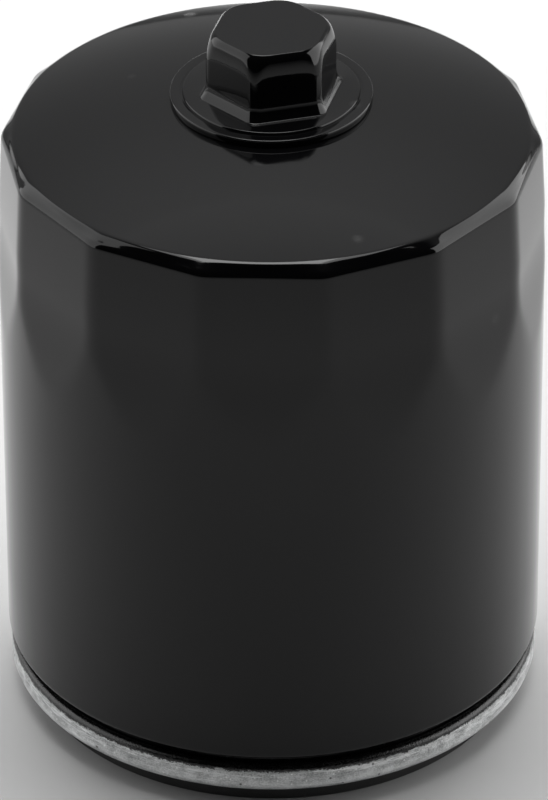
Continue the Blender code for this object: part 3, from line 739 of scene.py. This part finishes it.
def feed(tree, socket, value):
    """Sets an input socket to a value, or joins another node's output socket to it."""
    if isinstance(value, bpy.types.NodeSocket):
        tree.links.new(value, socket)
    else:
        socket.default_value = value


def add(tree, kind, inputs=None, **settings):
    """A node with its settings; each input is a value or another node's output socket."""
    node = tree.nodes.new(kind)
    for name, value in settings.items():
        setattr(node, name, value)
    for name, value in (inputs or {}).items():
        feed(tree, node.inputs[name], value)
    return node


def math_of(tree, operation, first, second=0.0, clamp=False):
    inputs = {0: first, 1: second}
    return add(tree, "ShaderNodeMath", inputs, operation=operation, use_clamp=clamp).outputs[0]


def ramp_of(tree, value, low, high, start=0.0, end=1.0):
    """The value mapped smoothly from low..high to start..end."""
    inputs = {"Value": value, "From Min": low, "From Max": high, "To Min": start, "To Max": end}
    return add(tree, "ShaderNodeMapRange", inputs, interpolation_type="SMOOTHSTEP").outputs["Result"]


def make_round_the_axis():
    """Position as (way round the axis, distance from it, height), so that streaks run round a piece."""
    outputs = [("Vector", "NodeSocketVector"), ("Height", "NodeSocketFloat")]
    tree, _, out = new_group("Round the axis", [], outputs)
    place = add(tree, "ShaderNodeTexCoord").outputs["Object"]
    parts = add(tree, "ShaderNodeSeparateXYZ", {"Vector": place}).outputs
    flat = add(tree, "ShaderNodeCombineXYZ", {"X": parts["X"], "Y": parts["Y"]}).outputs["Vector"]
    reach = add(tree, "ShaderNodeVectorMath", {0: flat}, operation="LENGTH").outputs["Value"]
    turn = math_of(tree, "ARCTAN2", parts["Y"], parts["X"])
    around = math_of(tree, "MULTIPLY", turn, CAN_RADIUS)
    place = add(tree, "ShaderNodeCombineXYZ", {"X": around, "Y": reach, "Z": parts["Z"]})
    tree.links.new(place.outputs["Vector"], out.inputs["Vector"])
    tree.links.new(parts["Z"], out.inputs["Height"])
    return tree


def make_orange_peel():
    """The slight waves that sprayed enamel sets in."""
    inputs = [("Wave", "NodeSocketFloat", PEEL_WAVE), ("Share of fine", "NodeSocketFloat", 0.3)]
    outputs = [("Height", "NodeSocketFloat"), ("Tone", "NodeSocketFloat")]
    tree, given, out = new_group("Orange peel", inputs, outputs)
    place = add(tree, "ShaderNodeTexCoord").outputs["Object"]
    wave = given.outputs["Wave"]
    broad = add(tree, "ShaderNodeTexNoise", {"Vector": place, "Scale": wave, "Detail": 1.0})
    finer = math_of(tree, "MULTIPLY", wave, 3.1)
    fine = add(tree, "ShaderNodeTexNoise", {"Vector": place, "Scale": finer, "Detail": 2.0})
    share = math_of(tree, "MULTIPLY", fine.outputs["Fac"], given.outputs["Share of fine"])
    tree.links.new(math_of(tree, "ADD", broad.outputs["Fac"], share), out.inputs["Height"])
    tree.links.new(fine.outputs["Fac"], out.inputs["Tone"])
    return tree


def make_specks():
    """Scattered small specks, such as dust nibs in paint or pits in a coating."""
    inputs = [
        ("Vector", "NodeSocketVector", None),
        ("Scale", "NodeSocketFloat", 900.0),
        ("Amount", "NodeSocketFloat", 0.1),
    ]
    tree, given, out = new_group("Specks", inputs, [("Mask", "NodeSocketFloat")])
    spread = {"Vector": given.outputs["Vector"], "Scale": given.outputs["Scale"]}
    cells = add(tree, "ShaderNodeTexVoronoi", spread)
    tone = add(tree, "ShaderNodeSeparateColor", {"Color": cells.outputs["Color"]}).outputs["Red"]
    chosen = math_of(tree, "LESS_THAN", tone, given.outputs["Amount"])
    dot = ramp_of(tree, cells.outputs["Distance"], 0.32, 0.1)
    tree.links.new(math_of(tree, "MULTIPLY", dot, chosen), out.inputs["Mask"])
    return tree


def make_mottle():
    """Uneven tone with streaks along X of the vector, as on drawn, coated or moulded surfaces."""
    inputs = [
        ("Vector", "NodeSocketVector", None),
        ("Scale", "NodeSocketFloat", 300.0),
        ("Stretch", "NodeSocketFloat", 0.2),
        ("Contrast", "NodeSocketFloat", 1.0),
    ]
    outputs = [("Tone", "NodeSocketFloat"), ("Height", "NodeSocketFloat")]
    tree, given, out = new_group("Mottle", inputs, outputs)
    squeeze = add(tree, "ShaderNodeCombineXYZ", {"X": given.outputs["Stretch"], "Y": 1.0, "Z": 1.0})
    factors = {0: given.outputs["Vector"], 1: squeeze.outputs["Vector"]}
    place = add(tree, "ShaderNodeVectorMath", factors, operation="MULTIPLY").outputs["Vector"]
    scale = given.outputs["Scale"]
    blotch = add(tree, "ShaderNodeTexNoise", {"Vector": place, "Scale": scale, "Detail": 5.0})
    finer = math_of(tree, "MULTIPLY", scale, 7.0)
    grain = add(tree, "ShaderNodeTexNoise", {"Vector": place, "Scale": finer, "Detail": 3.0})
    half = math_of(tree, "MULTIPLY", grain.outputs["Fac"], 0.5)
    both = math_of(tree, "ADD", math_of(tree, "MULTIPLY", blotch.outputs["Fac"], 0.5), half)
    centred = math_of(tree, "SUBTRACT", both, 0.5)
    raised = math_of(tree, "MULTIPLY", centred, given.outputs["Contrast"])
    tree.links.new(math_of(tree, "ADD", raised, 0.5, clamp=True), out.inputs["Tone"])
    tree.links.new(grain.outputs["Fac"], out.inputs["Height"])
    return tree


ROUND_THE_AXIS = make_round_the_axis()
ORANGE_PEEL = make_orange_peel()
SPECKS = make_specks()
MOTTLE = make_mottle()


def use(tree, group, inputs=None):
    """The outputs of one of the groups above, placed in a material."""
    return add(tree, "ShaderNodeGroup", inputs, node_tree=group).outputs


# Finishes


def new_finish(name, **shader_values):
    finish = bpy.data.materials.new(name)
    finish.use_nodes = True
    tree = finish.node_tree
    shader = tree.nodes["Principled BSDF"]
    for label, value in shader_values.items():
        shader.inputs[label.replace("_", " ")].default_value = value
    return finish, tree, shader


def blend_colours(tree, share, first, second):
    """The first colour turning into the second; a Mix node keeps its colour sockets at 6 and 7."""
    node = add(tree, "ShaderNodeMix", {0: share}, data_type="RGBA")
    for index, colour in ((6, first), (7, second)):
        feed(tree, node.inputs[index], (*colour, 1.0) if isinstance(colour, tuple) else colour)
    return node.outputs[2]


def bump(tree, shader, height, depth, below=None):
    """Raises the surface by the height, as deep as the depth in metres."""
    inputs = {"Height": height, "Distance": depth, "Strength": 1.0}
    if below is not None:
        inputs["Normal"] = below
    node = add(tree, "ShaderNodeBump", inputs)
    tree.links.new(node.outputs["Normal"], shader.inputs["Normal"])
    return node.outputs["Normal"]


def gloss_enamel(name):
    """Black enamel: near-mirror gloss with orange peel and a few dust nibs."""
    finish, tree, shader = new_finish(name, IOR=1.5, Specular_IOR_Level=PAINT_LEVEL)
    peel = use(tree, ORANGE_PEEL, {"Wave": PEEL_WAVE})
    place = add(tree, "ShaderNodeTexCoord").outputs["Object"]
    nibs = use(tree, SPECKS, {"Vector": place, "Scale": 260.0, "Amount": 0.012})["Mask"]
    feed(tree, shader.inputs["Base Color"], blend_colours(tree, nibs, PAINT, PAINT_NIB))
    rough = ramp_of(tree, peel["Tone"], 0.3, 0.7, 0.055, 0.085)
    dulled = math_of(tree, "ADD", rough, math_of(tree, "MULTIPLY", nibs, 0.2))
    feed(tree, shader.inputs["Roughness"], dulled)
    waves = bump(tree, shader, peel["Height"], PEEL_DEPTH)
    bump(tree, shader, nibs, NIB_DEPTH, waves)
    return finish


def galvanised_with_overspray():
    """Streaked and pitted zinc, lightened towards its foot as a painted highlight, with the enamel's
    ragged lower edge where the spray ran out.
    """
    finish, tree, shader = new_finish("Galvanised steel with overspray", IOR=1.5)
    axis = use(tree, ROUND_THE_AXIS)
    place = axis["Vector"]
    mottle = use(tree, MOTTLE, {"Vector": place, "Scale": 760.0, "Stretch": 0.7, "Contrast": 4.6})
    streaks = use(tree, MOTTLE, {"Vector": place, "Scale": 1300.0, "Stretch": 0.06, "Contrast": 4.5})
    zinc = blend_colours(tree, mottle["Tone"], (0.30, 0.31, 0.31), (0.74, 0.75, 0.75))
    streaked = ramp_of(tree, streaks["Tone"], 0.5, 0.9, 0.0, 0.7)
    zinc = blend_colours(tree, streaked, zinc, (0.92, 0.93, 0.93))
    # Painted highlight: the band is lightened below about 5.6 mm height, in place of the shade the
    # can's overhang casts on its upper part.
    low = ramp_of(tree, axis["Height"], 5.6 * MM, 4.6 * MM)
    zinc = blend_colours(tree, math_of(tree, "MULTIPLY", low, 0.35), zinc, (0.95, 0.96, 0.96))
    pits = use(tree, SPECKS, {"Vector": place, "Scale": 1100.0, "Amount": 0.12})["Mask"]
    zinc = blend_colours(tree, pits, zinc, (0.12, 0.12, 0.12))
    bright = use(tree, SPECKS, {"Vector": place, "Scale": 1500.0, "Amount": 0.25})["Mask"]
    zinc = blend_colours(tree, math_of(tree, "MULTIPLY", bright, 0.8), zinc, (0.97, 0.98, 0.98))
    ragged = math_of(tree, "MULTIPLY", math_of(tree, "SUBTRACT", mottle["Tone"], 0.5), 0.5 * MM)
    level = math_of(tree, "ADD", axis["Height"], ragged)
    paint = ramp_of(tree, level, PAINT_EDGE_Z - 0.12 * MM, PAINT_EDGE_Z + 0.18 * MM)
    edged = blend_colours(tree, paint, zinc, (0.003, 0.003, 0.003))
    feed(tree, shader.inputs["Base Color"], edged)
    rough = ramp_of(tree, mottle["Tone"], 0.2, 0.8, 0.34, 0.5)
    glossy = math_of(tree, "SUBTRACT", rough, math_of(tree, "MULTIPLY", paint, 0.2))
    feed(tree, shader.inputs["Roughness"], glossy)
    bare = math_of(tree, "SUBTRACT", 0.92, paint, clamp=True)
    feed(tree, shader.inputs["Metallic"], bare)
    bump(tree, shader, mottle["Height"], 0.05 * MM)
    return finish


def metal(name, dark, light, rough, scale=500.0, depth=0.006):
    """Steel with streaks round the axis, from a dark to a light tone; the depth is in millimetres."""
    finish, tree, shader = new_finish(name, Metallic=0.95)
    place = use(tree, ROUND_THE_AXIS)["Vector"]
    mottle = use(tree, MOTTLE, {"Vector": place, "Scale": scale, "Stretch": 0.06, "Contrast": 2.4})
    pits = use(tree, SPECKS, {"Vector": place, "Scale": 700.0, "Amount": 0.05})["Mask"]
    colour = blend_colours(tree, mottle["Tone"], dark, light)
    pitted = blend_colours(tree, pits, colour, tuple(0.5 * part for part in dark))
    feed(tree, shader.inputs["Base Color"], pitted)
    dulled = ramp_of(tree, mottle["Tone"], 0.1, 0.9, rough + 0.08, rough - 0.06)
    feed(tree, shader.inputs["Roughness"], dulled)
    bump(tree, shader, mottle["Height"], depth * MM)
    return finish


def moulded(name, dark, light, rough, depth=0.02):
    """Rubber or cured compound, with fine grain and a little bloom; the depth is in millimetres."""
    finish, tree, shader = new_finish(name, Specular_IOR_Level=0.5)
    place = use(tree, ROUND_THE_AXIS)["Vector"]
    mottle = use(tree, MOTTLE, {"Vector": place, "Scale": 350.0, "Stretch": 0.4, "Contrast": 2.2})
    specks = use(tree, SPECKS, {"Vector": place, "Scale": 800.0, "Amount": 0.06})["Mask"]
    colour = blend_colours(tree, mottle["Tone"], dark, light)
    bloomed = blend_colours(tree, specks, colour, tuple(1.6 * part for part in light))
    feed(tree, shader.inputs["Base Color"], bloomed)
    worn = ramp_of(tree, mottle["Tone"], 0.1, 0.9, rough - 0.06, rough + 0.08)
    feed(tree, shader.inputs["Roughness"], worn)
    bump(tree, shader, mottle["Height"], depth * MM)
    return finish


def filter_paper():
    """Resin-treated paper: fibres running every way, and darker toasted patches."""
    finish, tree, shader = new_finish("Resin-treated paper", Roughness=0.85, Specular_IOR_Level=0.3)
    place = add(tree, "ShaderNodeTexCoord").outputs["Object"]
    across = use(tree, MOTTLE, {"Vector": place, "Scale": 1400.0, "Stretch": 0.15, "Contrast": 2.5})
    askew = add(tree, "ShaderNodeMapping", {"Vector": place, "Rotation": (0.6, 1.1, 0.9)}).outputs[0]
    along = use(tree, MOTTLE, {"Vector": askew, "Scale": 1100.0, "Stretch": 0.12, "Contrast": 2.5})
    fibres = math_of(tree, "MULTIPLY", across["Tone"], along["Tone"])
    patches = {"Vector": place, "Scale": 90.0, "Detail": 3.0}
    patch = add(tree, "ShaderNodeTexNoise", patches).outputs["Fac"]
    paper = blend_colours(tree, fibres, (0.50, 0.37, 0.19), (0.80, 0.70, 0.48))
    toast = ramp_of(tree, patch, 0.45, 0.75, 0.0, 0.5)
    toasted = blend_colours(tree, toast, paper, (0.46, 0.31, 0.14))
    feed(tree, shader.inputs["Base Color"], toasted)
    bump(tree, shader, fibres, 0.05 * MM)
    return finish


def pale_floor():
    finish, tree, shader = new_finish("Pale floor", Roughness=0.7, Specular_IOR_Level=0.2)
    place = add(tree, "ShaderNodeTexCoord").outputs["Object"]
    grains = {"Vector": place, "Scale": 400.0, "Detail": 4.0}
    grain = add(tree, "ShaderNodeTexNoise", grains).outputs["Fac"]
    colour = blend_colours(tree, grain, (FLOOR_TONE * 0.98,) * 3, (FLOOR_TONE,) * 3)
    feed(tree, shader.inputs["Base Color"], colour)
    return finish


# Studio


def make_floor():
    bpy.ops.object.select_all(action="DESELECT")
    bpy.ops.mesh.primitive_circle_add(vertices=96, radius=FLOOR_RADIUS, fill_type="NGON")
    floor = bpy.context.object
    floor.name = "floor"
    floor.data.materials.append(pale_floor())


def softbox(name, place, target, width, height, radiance, seen=True):
    """A rectangular lamp aimed at its target. One that isn't seen leaves no reflection."""
    lamp = bpy.data.lights.new(name, "AREA")
    lamp.shape = "RECTANGLE"
    lamp.size = width
    lamp.size_y = height
    lamp.energy = radiance * math.pi * width * height
    holder = bpy.data.objects.new(name, lamp)
    bpy.context.scene.collection.objects.link(holder)
    holder.location = place
    holder.rotation_euler = (Vector(target) - Vector(place)).to_track_quat("-Z", "Y").to_euler()
    holder.visible_glossy = seen


def side_softbox(name, side, low, high, near, far, radiance):
    """An upright softbox beside the object; side is 1 for the right and -1 for the left."""
    middle = ((near + far) / 2, (low + high) / 2)
    place = (side * SIDE_DISTANCE, *middle)
    softbox(name, place, (0, *middle), far - near, high - low, radiance)


def make_world():
    """A room that is dark in front, brighter behind and overhead, and seen white by the camera."""
    world = bpy.data.worlds.new("Room")
    world.use_nodes = True
    tree = world.node_tree
    room = tree.nodes["Background"]
    place = add(tree, "ShaderNodeTexCoord").outputs["Generated"]
    parts = add(tree, "ShaderNodeSeparateXYZ", {"Vector": place}).outputs
    ramp = add(tree, "ShaderNodeValToRGB", {"Fac": parts["Z"]})
    ramp.color_ramp.interpolation = "B_SPLINE"
    stops = ramp.color_ramp.elements
    for index, (height, tone) in enumerate(ROOM_BACK):
        stop = stops[index] if index < 2 else stops.new(height)
        stop.position = height
        stop.color = (tone, tone, tone, 1.0)
    behind = ramp_of(tree, parts["Y"], -0.1, 0.5)
    glow = blend_colours(tree, behind, (0.0, 0.0, 0.0), ramp.outputs["Color"])
    camera_ray = add(tree, "ShaderNodeLightPath").outputs["Is Camera Ray"]
    seen = blend_colours(tree, camera_ray, glow, (ROOM_SEEN,) * 3)
    tree.links.new(seen, room.inputs["Color"])
    bpy.context.scene.world = world


def make_lights():
    above, below = (0, -0.005, 0.7), (0, -0.005, 0)
    softbox("Overhead softbox", above, below, width=0.56, height=0.26, radiance=3.2)
    above, below = (-0.03, -0.005, 0.69), (-0.03, -0.005, 0)
    softbox("Overhead core", above, below, width=0.3, height=0.22, radiance=4.5)
    side_softbox("Left softbox", -1, low=0.0, high=1.2, near=-0.45, far=0.75, radiance=1.7)
    side_softbox("Right softbox", 1, low=0.0, high=0.95, near=-0.45, far=0.75, radiance=2.7)
    above, below = (0, 0.45, 0.5), (0, 0.35, 0)
    softbox("Floor light", above, below, width=0.9, height=0.3, radiance=11.0, seen=False)


def make_camera():
    lens = bpy.data.cameras.new("Camera")
    lens.lens = CAMERA_LENS
    lens.sensor_width = CAMERA_SENSOR
    lens.clip_end = 20.0
    camera = bpy.data.objects.new("Camera", lens)
    bpy.context.scene.collection.objects.link(camera)
    camera.location = CAMERA_PLACE
    aim = Vector(CAMERA_TARGET) - camera.location
    camera.rotation_euler = aim.to_track_quat("-Z", "Y").to_euler()
    camera.rotation_euler.rotate_axis("Z", CAMERA_ROLL)
    bpy.context.scene.camera = camera


# The object


def stands_for(piece, node, body, finish):
    """The piece takes the place of a CAD node and moves with its body."""
    piece.data.materials.clear()
    piece.data.materials.append(finish)
    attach(piece, body)
    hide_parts(node)
    return piece


def refinish(node, finish):
    """The CAD node keeps its shape and gets a better finish."""
    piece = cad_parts[node]
    for place in piece.material_slots:
        place.material = finish


enamel = gloss_enamel("Black enamel")
zinc = galvanised_with_overspray()
nitrile = moulded("Black nitrile rubber", (0.010,) * 3, (0.022,) * 3, 0.55)
silicone = moulded("Orange silicone", (0.52, 0.13, 0.035), (0.74, 0.24, 0.085), 0.42)
plastisol = moulded("Red plastisol", (0.28, 0.06, 0.04), (0.44, 0.13, 0.09), 0.6, depth=0.03)
sealant = moulded("Seam sealing compound", (0.15, 0.145, 0.13), (0.25, 0.24, 0.21), 0.7)
plate_steel = metal("Phosphated plate steel", (0.20, 0.20, 0.19), (0.42, 0.42, 0.40), 0.48)
tinplate = metal("Tin-plated sheet steel", (0.50, 0.50, 0.48), (0.72, 0.72, 0.70), 0.32)
wire_dark, wire_light = (0.24, 0.235, 0.23), (0.44, 0.43, 0.42)
oiled_wire = metal("Oiled spring wire", wire_dark, wire_light, 0.3, scale=1500.0, depth=0.003)
paper = filter_paper()

stands_for(make_canister(), "canister", "housing", enamel)
stands_for(make_hex_cap(), "hex_cap", "housing", enamel)
stands_for(make_seam_lid(), "seam_lid", "housing", zinc)
stands_for(make_gasket(), "mounting_gasket", "housing", nitrile)
stands_for(make_base_plate(), "base_plate", "housing", plate_steel)
stands_for(make_drainback_valve(), "anti_drainback_valve", "drainback_valve", silicone)
stands_for(make_hold_down_spring(), "hold_down_spring", "housing", oiled_wire)
bypass_coil = stands_for(make_bypass_spring(), "bypass_spring", "housing", oiled_wire)
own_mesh(bypass_coil)

for node in ("lower_end_cap", "upper_end_cap", "centre_tube", "media_seam_clip"):
    refinish(node, tinplate)
for node in ("bypass_cage", "bypass_plate"):
    refinish(node, tinplate)
for node in ("lower_end_adhesive", "upper_end_adhesive"):
    refinish(node, plastisol)
refinish("pleated_media", paper)
refinish("seam_sealant", sealant)
refinish("bypass_seal", nitrile)
refinish("bypass_stem", plate_steel)

make_floor()
make_world()
make_lights()
make_camera()
bpy.context.scene.view_settings.view_transform = "Standard"
